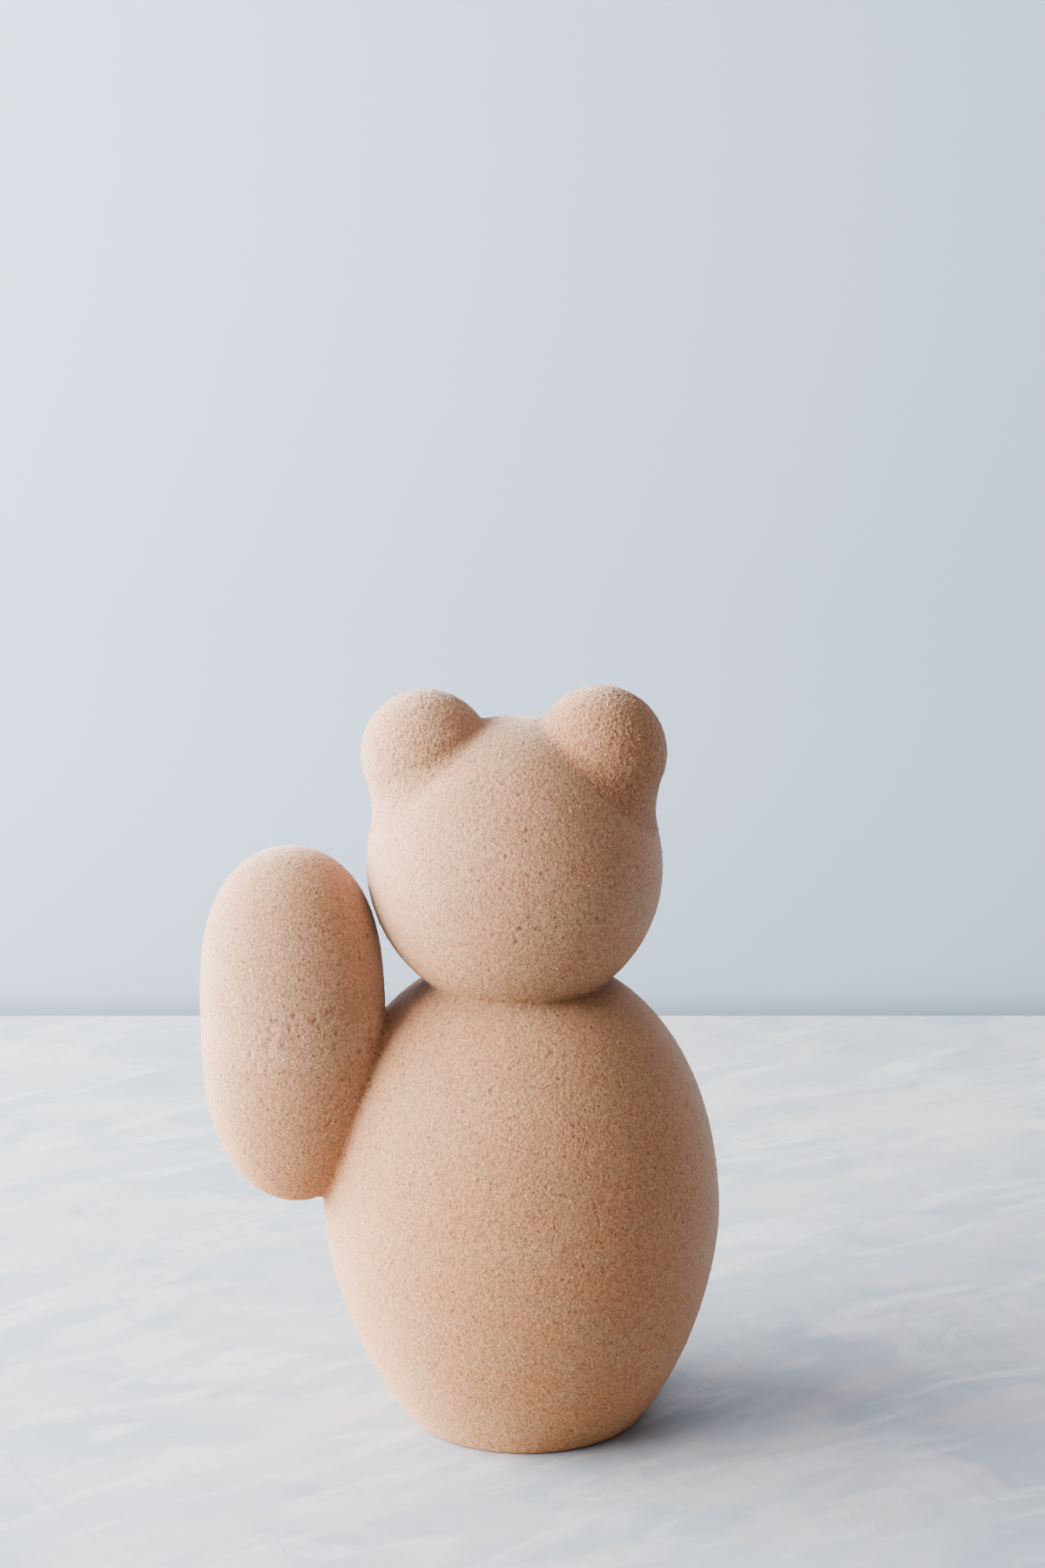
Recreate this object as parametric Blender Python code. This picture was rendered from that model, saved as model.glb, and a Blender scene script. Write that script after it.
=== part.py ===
# Lucky cat figurine in unglazed stoneware, luted together from hollow thrown and pinched forms.
# Metres, +Z up, the cat faces -Y. The origin is the centre of the flat foot, on the table.

import math

import bmesh
import bpy
from mathutils import Matrix, Vector
from mathutils.geometry import interpolate_bezier

# Body, a thrown egg. Its outline is one span from foot to belly and one from belly to crown.
FOOT_RADIUS = 0.0322
FOOT_BEVEL = 0.0018
BELLY_RADIUS = 0.0541
BELLY_HEIGHT = 0.0599
CROWN_HEIGHT = 0.1307
BODY_SEAM_HEIGHT = 0.0780
BODY_WALL = 0.0065
FLOOR_THICKNESS = 0.0075

# How full the spans of the egg are: the handles' lengths as shares of each span's height or radius.
FLANK_ANGLE = math.radians(38.7)
FLANK_FULLNESS = 0.42
BELLY_FULLNESS = 0.216
SHOULDER_FULLNESS = 0.67
CROWN_FULLNESS = 0.503

# Head, a ball that sits in a round seat cut into the body's mouth.
HEAD_RADIUS = 0.0397
HEAD_WALL = 0.0055
NECK_RADIUS = 0.0237
NECK_BEVEL = 0.0008

# Ears, pinched balls whose clay is smoothed out over the head, further on the outer side.
EAR_RADIUS = 0.0175
EAR_WALL = 0.0075
EAR_REACH_RIGHT = 0.0377
EAR_REACH_LEFT = 0.0390
EAR_SPREAD = math.radians(37.3)
EAR_FILLET_OUTER = 0.0260
EAR_FILLET_INNER = 0.0030
EAR_EDGE = 0.0004

# Raised arm on the cat's right, a blunt ovoid that stands against body and head, a little to the front.
ARM_RADIUS = 0.0248
ARM_TURN = math.radians(6.0)
ARM_BELLY_HEIGHT = 0.1108
ARM_RISE = 0.0516
ARM_DROP = 0.0466
ARM_BLUNTNESS_UP = 3.3
ARM_BLUNTNESS_DOWN = 2.6
ARM_SPLAY = math.radians(0.6)
ARM_SEAM_CLEARANCE = 0.0020
ARM_WALL = 0.0055
ARM_HEAD_CLEARANCE = 0.0009

# Firing vents, which lead the air of every chamber to the floor of the body.
FLOOR_VENT_RADIUS = 0.0040
FLOOR_VENT_OFFSET = 0.0150
NECK_VENT_RADIUS = 0.0045
ARM_VENT_RADIUS = 0.0040
ARM_VENT_ABOVE_SEAM = 0.0140
EAR_VENT_RADIUS = 0.0035

# The dried slip between two luted pieces.
SLIP_GAP = 0.0003

# The whole figure leans towards its raised arm.
FIGURE_LEAN = math.radians(1.1)

# Fineness of the facets.
BODY_SEGMENTS = 48
HEAD_SEGMENTS = 40
ARM_SEGMENTS = 32
EAR_SEGMENTS = 28
VENT_SEGMENTS = 16
SPAN_POINTS = 11
ARC_POINTS = 10
SHORT_ARC_POINTS = 5
POLE = 1e-7

CLAY_COLOUR = (0.56, 0.36, 0.235)
CLAY_ROUGHNESS = 0.85


def clay_material(name):
    """The plain stoneware of one piece."""
    material = bpy.data.materials.new(name)
    material.use_nodes = True
    shader = material.node_tree.nodes["Principled BSDF"]
    shader.inputs["Base Color"].default_value = (*CLAY_COLOUR, 1.0)
    shader.inputs["Roughness"].default_value = CLAY_ROUGHNESS
    shader.inputs["Metallic"].default_value = 0.0
    return material


# Solids from rings of points

def lean_matrix():
    """Shears a piece towards -X by its height, so that the foot stays flat on the table."""
    matrix = Matrix.Identity(4)
    matrix[0][2] = -math.tan(FIGURE_LEAN)
    return matrix


def circle_angles(count):
    return [2.0 * math.pi * i / count for i in range(count)]


def solid_from_rings(name, rings, cyclic=False):
    """Skins rings into one closed, leaning mesh; a ring of one point is a pole."""
    work = bmesh.new()
    ring_verts = [[work.verts.new(point) for point in ring] for ring in rings]
    pairs = list(zip(ring_verts, ring_verts[1:]))
    if cyclic:
        pairs.append((ring_verts[-1], ring_verts[0]))
    for low, high in pairs:
        count = max(len(low), len(high))
        for i in range(count):
            j = (i + 1) % count
            if len(low) == 1:
                work.faces.new((low[0], high[j], high[i]))
            elif len(high) == 1:
                work.faces.new((low[i], low[j], high[0]))
            else:
                work.faces.new((low[i], low[j], high[j], high[i]))
    bmesh.ops.recalc_face_normals(work, faces=work.faces)
    mesh = bpy.data.meshes.new(name)
    work.to_mesh(mesh)
    work.free()
    mesh.transform(lean_matrix())
    mesh.shade_smooth()
    mesh.set_sharp_from_angle(angle=math.radians(40.0))
    mesh.materials.append(clay_material(name))
    piece = bpy.data.objects.new(name, mesh)
    bpy.context.scene.collection.objects.link(piece)
    return piece


def turned(name, outline, segments, axis_x=lambda height: 0.0, place=Vector):
    """Turns an outline of (radius, height) about an upright axis; its ends are poles, or it is a loop."""
    rings = []
    for radius, height in outline:
        x = axis_x(height)
        if radius < POLE:
            rings.append([place((x, 0.0, height))])
        else:
            rings.append([
                place((x + radius * math.cos(a), radius * math.sin(a), height))
                for a in circle_angles(segments)
            ])
    return solid_from_rings(name, rings, cyclic=len(rings[0]) > 1)


def as_cutter(piece):
    """Keeps a piece out of the figure: it only shows as wire and only cuts."""
    piece.hide_render = True
    piece.display_type = "WIRE"
    return piece


def rod_cutter(name, start, end, radius):
    """A round rod from start to end that cuts a vent."""
    along = (end - start).normalized()
    side = along.orthogonal().normalized()
    other = along.cross(side)
    rings = [[start]]
    for centre in (start, end):
        rings.append([
            centre + radius * (math.cos(a) * side + math.sin(a) * other)
            for a in circle_angles(VENT_SEGMENTS)
        ])
    rings.append([end])
    return as_cutter(solid_from_rings(name, rings))


def cut(piece, cutter):
    """Takes the cutter's space out of the piece."""
    boolean = piece.modifiers.new("cut_by_" + cutter.name, "BOOLEAN")
    boolean.operation = "DIFFERENCE"
    boolean.solver = "EXACT"
    boolean.object = cutter


# Outlines, lists of (radius, height) that run upwards

def bezier_points(start, handle_a, handle_b, end, count):
    knots = [Vector((radius, height, 0.0)) for radius, height in (start, handle_a, handle_b, end)]
    return [(point.x, point.y) for point in interpolate_bezier(*knots, count)]


def moved_outwards(outline, distance):
    """The outline moved along its normals; a point on the axis stays there."""
    moved = []
    last = len(outline) - 1
    for i, (radius, height) in enumerate(outline):
        if radius < POLE:
            moved.append((0.0, height + distance))
            continue
        before = outline[max(i - 1, 0)]
        after = outline[min(i + 1, last)]
        along = Vector((after[0] - before[0], after[1] - before[1])).normalized()
        moved.append((radius + along.y * distance, height - along.x * distance))
    return moved


def egg_outline(distance=0.0):
    """The body's line from foot to crown, moved outwards by a distance."""
    foot = (FOOT_RADIUS, 0.0)
    belly = (BELLY_RADIUS, BELLY_HEIGHT)
    flank_reach = FLANK_FULLNESS * BELLY_HEIGHT
    shoulder_rise = CROWN_HEIGHT - BELLY_HEIGHT
    flank = bezier_points(
        foot,
        (FOOT_RADIUS + flank_reach * math.sin(FLANK_ANGLE), flank_reach * math.cos(FLANK_ANGLE)),
        (BELLY_RADIUS, BELLY_HEIGHT * (1.0 - BELLY_FULLNESS)),
        belly,
        SPAN_POINTS,
    )
    shoulder = bezier_points(
        belly,
        (BELLY_RADIUS, BELLY_HEIGHT + SHOULDER_FULLNESS * shoulder_rise),
        (CROWN_FULLNESS * BELLY_RADIUS, CROWN_HEIGHT),
        (0.0, CROWN_HEIGHT),
        SPAN_POINTS + SHORT_ARC_POINTS,
    )
    return moved_outwards(flank + shoulder[1:], distance)


def radius_at(outline, height):
    """The outline's radius at a height."""
    for (low_radius, low), (high_radius, high) in zip(outline, outline[1:]):
        if low <= height <= high:
            return low_radius + (high_radius - low_radius) * (height - low) / max(high - low, POLE)
    return outline[0][0]


def height_of_neck(outline):
    """The height above the belly at which the outline has narrowed to the neck's radius."""
    for (low_radius, low), (high_radius, high) in zip(outline, outline[1:]):
        if high_radius <= NECK_RADIUS < low_radius:
            return low + (high - low) * (low_radius - NECK_RADIUS) / (low_radius - high_radius)
    return outline[-1][1]


def between_heights(outline, low, high):
    """The outline from one height to another, with a point exactly at each."""
    inside = [point for point in outline if low + SLIP_GAP < point[1] < high - SLIP_GAP]
    return [(radius_at(outline, low), low), *inside, (radius_at(outline, high), high)]


def up_to_ball(outline, low, centre_height, ball_radius):
    """The outline from a height until it meets a ball on the axis, with a point exactly on the ball."""
    kept = [(radius_at(outline, low), low)]
    for point in outline:
        if point[1] <= low + SLIP_GAP:
            continue
        clear = math.hypot(point[0], point[1] - centre_height) - ball_radius
        if clear <= 0.0:
            before = math.hypot(kept[-1][0], kept[-1][1] - centre_height) - ball_radius
            share = before / (before - clear)
            kept.append(tuple(a + share * (b - a) for a, b in zip(kept[-1], point)))
            return kept
        kept.append(point)
    return kept


def ball_arc(centre_height, radius, start, end, count):
    """Points on a ball on the axis, by angle from straight down."""
    angles = [start + (end - start) * i / (count - 1) for i in range(count)]
    return [(abs(radius * math.sin(a)), centre_height - radius * math.cos(a)) for a in angles]


def ovoid_radius(height, inset=0.0):
    """The arm's radius at a height, or its hollow's radius with an inset."""
    rise = height - ARM_BELLY_HEIGHT
    reach = (ARM_RISE if rise > 0.0 else ARM_DROP) - inset
    bluntness = ARM_BLUNTNESS_UP if rise > 0.0 else ARM_BLUNTNESS_DOWN
    share = min(abs(rise) / reach, 1.0)
    return (ARM_RADIUS - inset) * math.sqrt(1.0 - share ** bluntness)


def ovoid_outline(inset=0.0):
    """The arm's line from its lowest to its highest point, evenly spaced as seen from inside."""
    outline = []
    for i in range(2 * ARC_POINTS - 1):
        swing = math.sin(math.pi / 2.0 * (i / (ARC_POINTS - 1) - 1.0))
        height = ARM_BELLY_HEIGHT + swing * ((ARM_RISE if swing > 0.0 else ARM_DROP) - inset)
        outline.append((ovoid_radius(height, inset), height))
    outline[0] = (0.0, outline[0][1])
    outline[-1] = (0.0, outline[-1][1])
    return outline


# Places that follow from the sizes

def head_height():
    """The head's centre, whose ball meets the body's line in the ring of the neck."""
    return height_of_neck(egg_outline()) + math.sqrt(HEAD_RADIUS ** 2 - NECK_RADIUS ** 2)


def arm_lean_x(height):
    """How far the arm's axis has moved in towards the head at a height above its belly."""
    return (height - ARM_BELLY_HEIGHT) * math.tan(ARM_SPLAY)


def arm_axis_x(height):
    """The arm's axis at a height, set so that its flank just clears the ball of the head."""
    steps = 200
    widest = 0.0
    for i in range(steps + 1):
        drop = HEAD_RADIUS * (2.0 * i / steps - 1.0)
        level = head_height() + drop
        ball_radius = math.sqrt(HEAD_RADIUS ** 2 - drop ** 2)
        widest = max(widest, ball_radius + ovoid_radius(level) + arm_lean_x(level))
    return arm_lean_x(height) - widest - ARM_HEAD_CLEARANCE


def arm_seam_height():
    """The arm's seam, far enough above the body that the rim of each half is whole."""
    body_line = egg_outline(SLIP_GAP)
    steps = 400
    for i in range(steps):
        height = ARM_BELLY_HEIGHT + ARM_RISE * (1.0 - i / steps)
        if radius_at(body_line, height) + arm_axis_x(height) + ovoid_radius(height) > 0.0:
            return height + ARM_SEAM_CLEARANCE
    return ARM_BELLY_HEIGHT


def arm_place(point):
    """A point of the arm, modelled straight at the side, taken round the body towards the front."""
    return Matrix.Rotation(ARM_TURN, 3, "Z") @ Vector(point)


def ear_angle(side):
    """An ear's lean from straight up; side is -1 for the ear above the raised arm."""
    return side * EAR_SPREAD


# Body

def make_body_lower():
    seam = BODY_SEAM_HEIGHT - SLIP_GAP / 2.0
    outer = between_heights(egg_outline(), FOOT_BEVEL, seam)
    inner = between_heights(egg_outline(-BODY_WALL), FLOOR_THICKNESS, seam)
    foot_edge = bezier_points(
        (FOOT_RADIUS - FOOT_BEVEL, 0.0), (FOOT_RADIUS, 0.0), (FOOT_RADIUS, 0.0), outer[0],
        SHORT_ARC_POINTS,
    )
    outline = [(0.0, 0.0), *foot_edge[:-1], *outer, *reversed(inner), (0.0, FLOOR_THICKNESS)]
    piece = turned("body_lower", outline, BODY_SEGMENTS)
    below = Vector((FLOOR_VENT_OFFSET, 0.0, -FLOOR_THICKNESS))
    above = Vector((FLOOR_VENT_OFFSET, 0.0, 2.0 * FLOOR_THICKNESS))
    cut(piece, rod_cutter("floor_vent_cutter", below, above, FLOOR_VENT_RADIUS))


def make_arm_vent_rod():
    """The rod that pierces the flanks of arm and body, from the arm's axis into the body's hollow."""
    height = BODY_SEAM_HEIGHT + ARM_VENT_ABOVE_SEAM
    outside = Vector((arm_axis_x(height), 0.0, height))
    inside = outside + Vector((ARM_RADIUS + 2.0 * BODY_WALL, 0.0, 0.0))
    return rod_cutter("arm_vent_cutter", arm_place(outside), arm_place(inside), ARM_VENT_RADIUS)


def make_body_upper(arm_vent_rod):
    seam = BODY_SEAM_HEIGHT + SLIP_GAP / 2.0
    centre = head_height()
    seat_radius = HEAD_RADIUS + SLIP_GAP
    outer = up_to_ball(egg_outline(), seam, centre, seat_radius + NECK_BEVEL)
    inner = up_to_ball(egg_outline(-BODY_WALL), seam, centre, seat_radius)
    rim_angle = math.asin(outer[-1][0] / seat_radius) - NECK_BEVEL / seat_radius
    seat = ball_arc(centre, seat_radius, rim_angle, math.asin(inner[-1][0] / seat_radius), SHORT_ARC_POINTS)
    piece = turned("body_upper", [*outer, *seat[:-1], *reversed(inner)], BODY_SEGMENTS)
    cut(piece, arm_vent_rod)


# Head

def half_ball(radius, pole, count):
    """A quarter circle from the head's seam to a pole, 0 at the bottom or pi at the top."""
    level = math.pi / 2.0
    seam = math.asin(SLIP_GAP / 2.0 / radius)
    return ball_arc(head_height(), radius, level + math.copysign(seam, pole - level), pole, count)


def make_head_lower():
    hollow = HEAD_RADIUS - HEAD_WALL
    outer = half_ball(HEAD_RADIUS, math.asin(NECK_VENT_RADIUS / HEAD_RADIUS), ARC_POINTS)
    inner = half_ball(hollow, math.asin(NECK_VENT_RADIUS / hollow), ARC_POINTS)
    turned("head_lower", [*reversed(outer), *inner], HEAD_SEGMENTS)


def make_head_upper():
    hollow = HEAD_RADIUS - HEAD_WALL
    outer = half_ball(HEAD_RADIUS, math.pi, ARC_POINTS + 1)
    inner = half_ball(hollow, math.pi, ARC_POINTS)
    piece = turned("head_upper", [*reversed(outer), *inner], HEAD_SEGMENTS)
    centre = Vector((0.0, 0.0, head_height()))
    for side, name in ((-1.0, "right"), (1.0, "left")):
        angle = ear_angle(side)
        along = Vector((math.sin(angle), 0.0, math.cos(angle)))
        inside = centre + along * (hollow - HEAD_WALL)
        outside = centre + along * (HEAD_RADIUS + HEAD_WALL)
        cut(piece, rod_cutter(f"ear_{name}_vent_cutter", inside, outside, EAR_VENT_RADIUS))


# Ears

def circle_meeting(radius_a, radius_b, apart):
    """Where circles about (0, 0) and (apart, 0) meet, as (along, out)."""
    along = (radius_a ** 2 + apart ** 2 - radius_b ** 2) / (2.0 * apart)
    return Vector((along, math.sqrt(radius_a ** 2 - along ** 2)))


def arc_about(centre, radius, start, end, count):
    """Points on a circle from one point to another, by the short way."""
    start_angle = math.atan2(start.y - centre.y, start.x - centre.x)
    end_angle = math.atan2(end.y - centre.y, end.x - centre.x)
    turn = (end_angle - start_angle + math.pi) % (2.0 * math.pi) - math.pi
    angles = [start_angle + turn * i / (count - 1) for i in range(count)]
    return [centre + radius * Vector((math.cos(a), math.sin(a))) for a in angles]


def ear_outline(reach, fillet):
    """An ear's section from tip, over the fillet, under the skirt and up its hollow, as (along, out)."""
    origin = Vector((0.0, 0.0))
    ball = Vector((reach, 0.0))
    seat = HEAD_RADIUS + SLIP_GAP
    hollow = EAR_RADIUS - EAR_WALL
    fillet_centre = circle_meeting(HEAD_RADIUS + fillet, EAR_RADIUS + fillet, reach)
    leaves_ear = ball + (fillet_centre - ball) * EAR_RADIUS / (EAR_RADIUS + fillet)
    from_head = fillet_centre.length
    edge_radius = seat + EAR_EDGE
    swing = math.acos((from_head ** 2 + fillet ** 2 - edge_radius ** 2) / (2.0 * from_head * fillet))
    to_head = math.atan2(-fillet_centre.y, -fillet_centre.x)
    edge = fillet_centre + fillet * Vector((math.cos(to_head - swing), math.sin(to_head - swing)))
    rim = circle_meeting(seat, hollow, reach)
    tip = Vector((reach + EAR_RADIUS, 0.0))
    roof = Vector((reach + hollow, 0.0))
    return [
        *arc_about(ball, EAR_RADIUS, tip, leaves_ear, ARC_POINTS),
        *arc_about(fillet_centre, fillet, leaves_ear, edge, SHORT_ARC_POINTS + 2)[1:],
        *arc_about(origin, seat, edge.normalized() * seat, rim, SHORT_ARC_POINTS),
        *arc_about(ball, hollow, rim, roof, SHORT_ARC_POINTS)[1:],
    ]


def make_ear(name, side, reach):
    angle = ear_angle(side)
    centre = Vector((0.0, 0.0, head_height()))
    along = Vector((math.sin(angle), 0.0, math.cos(angle)))
    outer_side = side * Vector((math.cos(angle), 0.0, -math.sin(angle)))
    back = Vector((0.0, 1.0, 0.0))
    sections = []
    for a in circle_angles(EAR_SEGMENTS):
        outer_share = (0.5 + 0.5 * math.cos(a)) ** 2
        fillet = EAR_FILLET_INNER + (EAR_FILLET_OUTER - EAR_FILLET_INNER) * outer_share
        out = math.cos(a) * outer_side + math.sin(a) * back
        sections.append([centre + p.x * along + p.y * out for p in ear_outline(reach, fillet)])
    rings = [list(ring) for ring in zip(*sections)]
    rings[0] = rings[0][:1]
    rings[-1] = rings[-1][:1]
    solid_from_rings(name, rings)


# Arm

def make_arm(arm_vent_rod):
    body_space = as_cutter(turned(
        "body_space_cutter",
        [(0.0, 0.0), *egg_outline(SLIP_GAP)],
        BODY_SEGMENTS,
    ))
    outer = ovoid_outline()
    inner = ovoid_outline(ARM_WALL)
    below = arm_seam_height() - SLIP_GAP / 2.0
    above = arm_seam_height() + SLIP_GAP / 2.0
    lower = [
        *between_heights(outer, outer[0][1], below),
        *reversed(between_heights(inner, inner[0][1], below)),
    ]
    upper = [
        *reversed(between_heights(outer, above, outer[-1][1])),
        *between_heights(inner, above, inner[-1][1]),
    ]
    for name, outline in (("arm_lower", lower), ("arm_upper", upper)):
        piece = turned(name, outline, ARM_SEGMENTS, axis_x=arm_axis_x, place=arm_place)
        cut(piece, body_space)
        cut(piece, arm_vent_rod)


for old in list(bpy.data.objects):
    bpy.data.objects.remove(old)
vent_rod = make_arm_vent_rod()
make_body_lower()
make_body_upper(vent_rod)
make_head_lower()
make_head_upper()
make_ear("ear_right", -1.0, EAR_REACH_RIGHT)
make_ear("ear_left", 1.0, EAR_REACH_LEFT)
make_arm(vent_rod)
print("head centre at height", round(head_height(), 5))
print("arm's axis at x", round(arm_axis_x(ARM_BELLY_HEIGHT), 5))
print("arm's seam at height", round(arm_seam_height(), 5))
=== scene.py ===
import math

import bmesh
import bpy
import numpy as np
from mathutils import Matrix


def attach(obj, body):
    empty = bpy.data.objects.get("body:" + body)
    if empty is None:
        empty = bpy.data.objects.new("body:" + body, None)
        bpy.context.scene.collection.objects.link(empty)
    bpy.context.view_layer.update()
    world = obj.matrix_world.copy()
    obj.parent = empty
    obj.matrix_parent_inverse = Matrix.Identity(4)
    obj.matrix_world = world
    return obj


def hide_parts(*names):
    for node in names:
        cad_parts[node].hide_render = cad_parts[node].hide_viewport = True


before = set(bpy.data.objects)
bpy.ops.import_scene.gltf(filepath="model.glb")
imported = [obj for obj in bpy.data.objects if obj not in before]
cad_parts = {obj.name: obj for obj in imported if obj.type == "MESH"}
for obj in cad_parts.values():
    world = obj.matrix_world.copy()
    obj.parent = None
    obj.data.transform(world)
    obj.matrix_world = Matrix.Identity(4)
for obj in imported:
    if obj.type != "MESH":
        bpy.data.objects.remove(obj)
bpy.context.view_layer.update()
scene = bpy.context.scene
print("frame loaded:", ", ".join(sorted(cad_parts)))


# Camera: a long lens a little above the cat, tipped down
cameraView = {
    "lens": 84.0,
    "filmHeight": 36.0,
    "place": (-0.0009, -0.9456, 0.4140),
    "tipDegrees": 76.0,
}


def setCamera():
    lens = bpy.data.cameras.new("photo_camera")
    lens.sensor_fit = "VERTICAL"
    lens.sensor_height = cameraView["filmHeight"]
    lens.lens = cameraView["lens"]
    lens.clip_start = 0.01
    lens.clip_end = 20.0
    camera = bpy.data.objects.new("photo_camera", lens)
    camera.location = cameraView["place"]
    camera.rotation_euler = (math.radians(cameraView["tipDegrees"]), 0.0, 0.0)
    scene.collection.objects.link(camera)
    scene.camera = camera


setCamera()
print("camera set")


# The whole figure leans a little towards its raised arm
figure = {"leanDegrees": 1.1, "luteGap": 0.0003, "innerStep": 0.006, "sharpDegrees": 42.0}
leanSlope = math.tan(math.radians(figure["leanDegrees"]))

# Body, a thrown egg on a flat foot
body = {
    "footRadius": 0.0322,
    "footBevel": 0.0018,
    "bellyRadius": 0.0541,
    "bellyHeight": 0.0599,
    "crownHeight": 0.1307,
    "seamHeight": 0.0780,
    "wall": 0.0065,
    "floor": 0.0075,
    "flankDegrees": 38.7,
    "flankFullness": 0.42,
    "bellyFullness": 0.216,
    "shoulderFullness": 0.67,
    "crownFullness": 0.503,
    "ventRadius": 0.0040,
    "ventOffset": 0.0150,
    "columns": 580,
    "rowStep": 0.00058,
    "bevelPoints": 60,
    "outlinePoints": 400,
}

# Head, a ball in the round seat of the body's mouth
head = {
    "radius": 0.0397,
    "wall": 0.0055,
    "neckRadius": 0.0237,
    "filletDown": 0.0013,
    "filletUp": 0.0009,
    "filletPoints": 16,
    "lipLift": 0.00002,
    "seatDepth": 0.0002,
    "seatStep": 0.0015,
    "skinFade": 0.002,
    "ventRadius": 0.0045,
    "columns": 500,
    "rowStep": 0.00050,
}


def cubicSpan(start, handleA, handleB, end, count):
    t = np.linspace(0.0, 1.0, count)[:, None]
    s = 1.0 - t
    knots = [np.array(p, float) for p in (start, handleA, handleB, end)]
    return s ** 3 * knots[0] + 3 * s * s * t * knots[1] + 3 * s * t * t * knots[2] + t ** 3 * knots[3]


def eggLine():
    b = body
    reach = b["flankFullness"] * b["bellyHeight"]
    angle = math.radians(b["flankDegrees"])
    rise = b["crownHeight"] - b["bellyHeight"]
    flank = cubicSpan(
        (b["footRadius"], 0.0),
        (b["footRadius"] + reach * math.sin(angle), reach * math.cos(angle)),
        (b["bellyRadius"], b["bellyHeight"] * (1.0 - b["bellyFullness"])),
        (b["bellyRadius"], b["bellyHeight"]),
        b["outlinePoints"],
    )
    shoulder = cubicSpan(
        (b["bellyRadius"], b["bellyHeight"]),
        (b["bellyRadius"], b["bellyHeight"] + b["shoulderFullness"] * rise),
        (b["crownFullness"] * b["bellyRadius"], b["crownHeight"]),
        (0.0, b["crownHeight"]),
        b["outlinePoints"],
    )
    return np.vstack([flank, shoulder[1:]])


def lineNormals(line):
    along = np.gradient(line, axis=0)
    along /= np.linalg.norm(along, axis=1)[:, None] + 1e-12
    return np.stack([along[:, 1], -along[:, 0]], axis=1)


def lengthAlong(line):
    steps = np.linalg.norm(np.diff(line, axis=0), axis=1)
    return np.concatenate([[0.0], np.cumsum(steps)])


def evenPoints(line, count):
    reach = lengthAlong(line)
    at = np.linspace(0.0, reach[-1], count)
    return np.stack([np.interp(at, reach, line[:, k]) for k in range(line.shape[1])], axis=1)


def evenly(line, step):
    return evenPoints(line, max(2, int(round(lengthAlong(line)[-1] / step)) + 1))


def radiusAt(line, height):
    return float(np.interp(height, line[:, 1], line[:, 0]))


def between(line, low, high):
    inside = line[(line[:, 1] > low) & (line[:, 1] < high)]
    return np.vstack([[radiusAt(line, low), low], inside, [radiusAt(line, high), high]])


egg = eggLine()
eggNormals = lineNormals(egg)
innerEgg = egg - eggNormals * body["wall"]
innerEgg = innerEgg[innerEgg[:, 0] > 0.0]
aboveBelly = egg[egg[:, 1] >= body["bellyHeight"]]
neckHeight = float(np.interp(-head["neckRadius"], -aboveBelly[:, 0], aboveBelly[:, 1]))
headHeight = neckHeight + math.sqrt(head["radius"] ** 2 - head["neckRadius"] ** 2)
headCentre = np.array([0.0, 0.0, headHeight])


# Raised arm, a blunt ovoid that stands against the body
arm = {
    "radius": 0.0248,
    "turnDegrees": 6.0,
    "bellyHeight": 0.1108,
    "rise": 0.0516,
    "drop": 0.0466,
    "bluntnessUp": 3.3,
    "bluntnessDown": 2.6,
    "splayDegrees": 0.6,
    "seamHeight": 0.11693,
    "bandHeight": 0.1150,
    "bandRoughness": 0.00042,
    "wall": 0.0055,
    "headClearance": 0.0009,
    "filletReach": 0.0034,
    "filletSink": 0.00003,
    "creaseSink": 0.0005,
    "columns": 460,
    "skinRows": 176,
    "filletRows": 10,
    "innerRows": 12,
}
# Where the arm's surface and its crease are searched for, and how finely
armSearch = {
    "farthest": 0.06,
    "surfaceHalvings": 34,
    "firstSwing": 0.3 * math.pi,
    "swings": 80,
    "creaseHalvings": 24,
    "points": 240,
}


def armRadius(height, inset=0.0):
    rise = np.asarray(height, float) - arm["bellyHeight"]
    up = rise > 0.0
    reach = np.where(up, arm["rise"], arm["drop"]) - inset
    bluntness = np.where(up, arm["bluntnessUp"], arm["bluntnessDown"])
    share = np.minimum(np.abs(rise) / reach, 1.0)
    return (arm["radius"] - inset) * np.sqrt(1.0 - share ** bluntness)


def armSplay(height):
    return (np.asarray(height, float) - arm["bellyHeight"]) * math.tan(math.radians(arm["splayDegrees"]))


# How far the arm's axis is from the middle, so that the arm just clears the head
def armReach():
    drop = np.linspace(-head["radius"], head["radius"], 201)
    level = headHeight + drop
    ball = np.sqrt(np.maximum(head["radius"] ** 2 - drop ** 2, 0.0))
    return float(np.max(ball + armRadius(level) + armSplay(level))) + arm["headClearance"]


armOffset = armReach()


def armAxis(height):
    return armSplay(height) - armOffset


# Ears, pinched balls whose clay is smoothed out over the head
ear = {
    "radius": 0.0175,
    "wall": 0.0075,
    "reach": {"right": 0.0377, "left": 0.0390},
    "relief": {
        "right": {"Pebbles": 0.00012, "Grit": 0.00009},
        "left": {"Pebbles": 0.00017, "Grit": 0.00012},
    },
    "spreadDegrees": 37.3,
    "filletOuter": 0.0260,
    "filletInner": 0.0030,
    "sink": 0.0004,
    "columns": 270,
    "skinRows": 131,
    "seatRows": 4,
    "roofRows": 9,
    "crownPoints": 200,
    "filletPoints": 120,
}


# Short cuts for building node trees
def addNode(tree, kind, inputs=(), **settings):
    node = tree.nodes.new(kind)
    for name, value in settings.items():
        setattr(node, name, value)
    pairs = inputs.items() if isinstance(inputs, dict) else enumerate(inputs)
    for key, value in pairs:
        if isinstance(value, bpy.types.NodeSocket):
            tree.links.new(value, node.inputs[key])
        else:
            node.inputs[key].default_value = value
    return node


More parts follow.
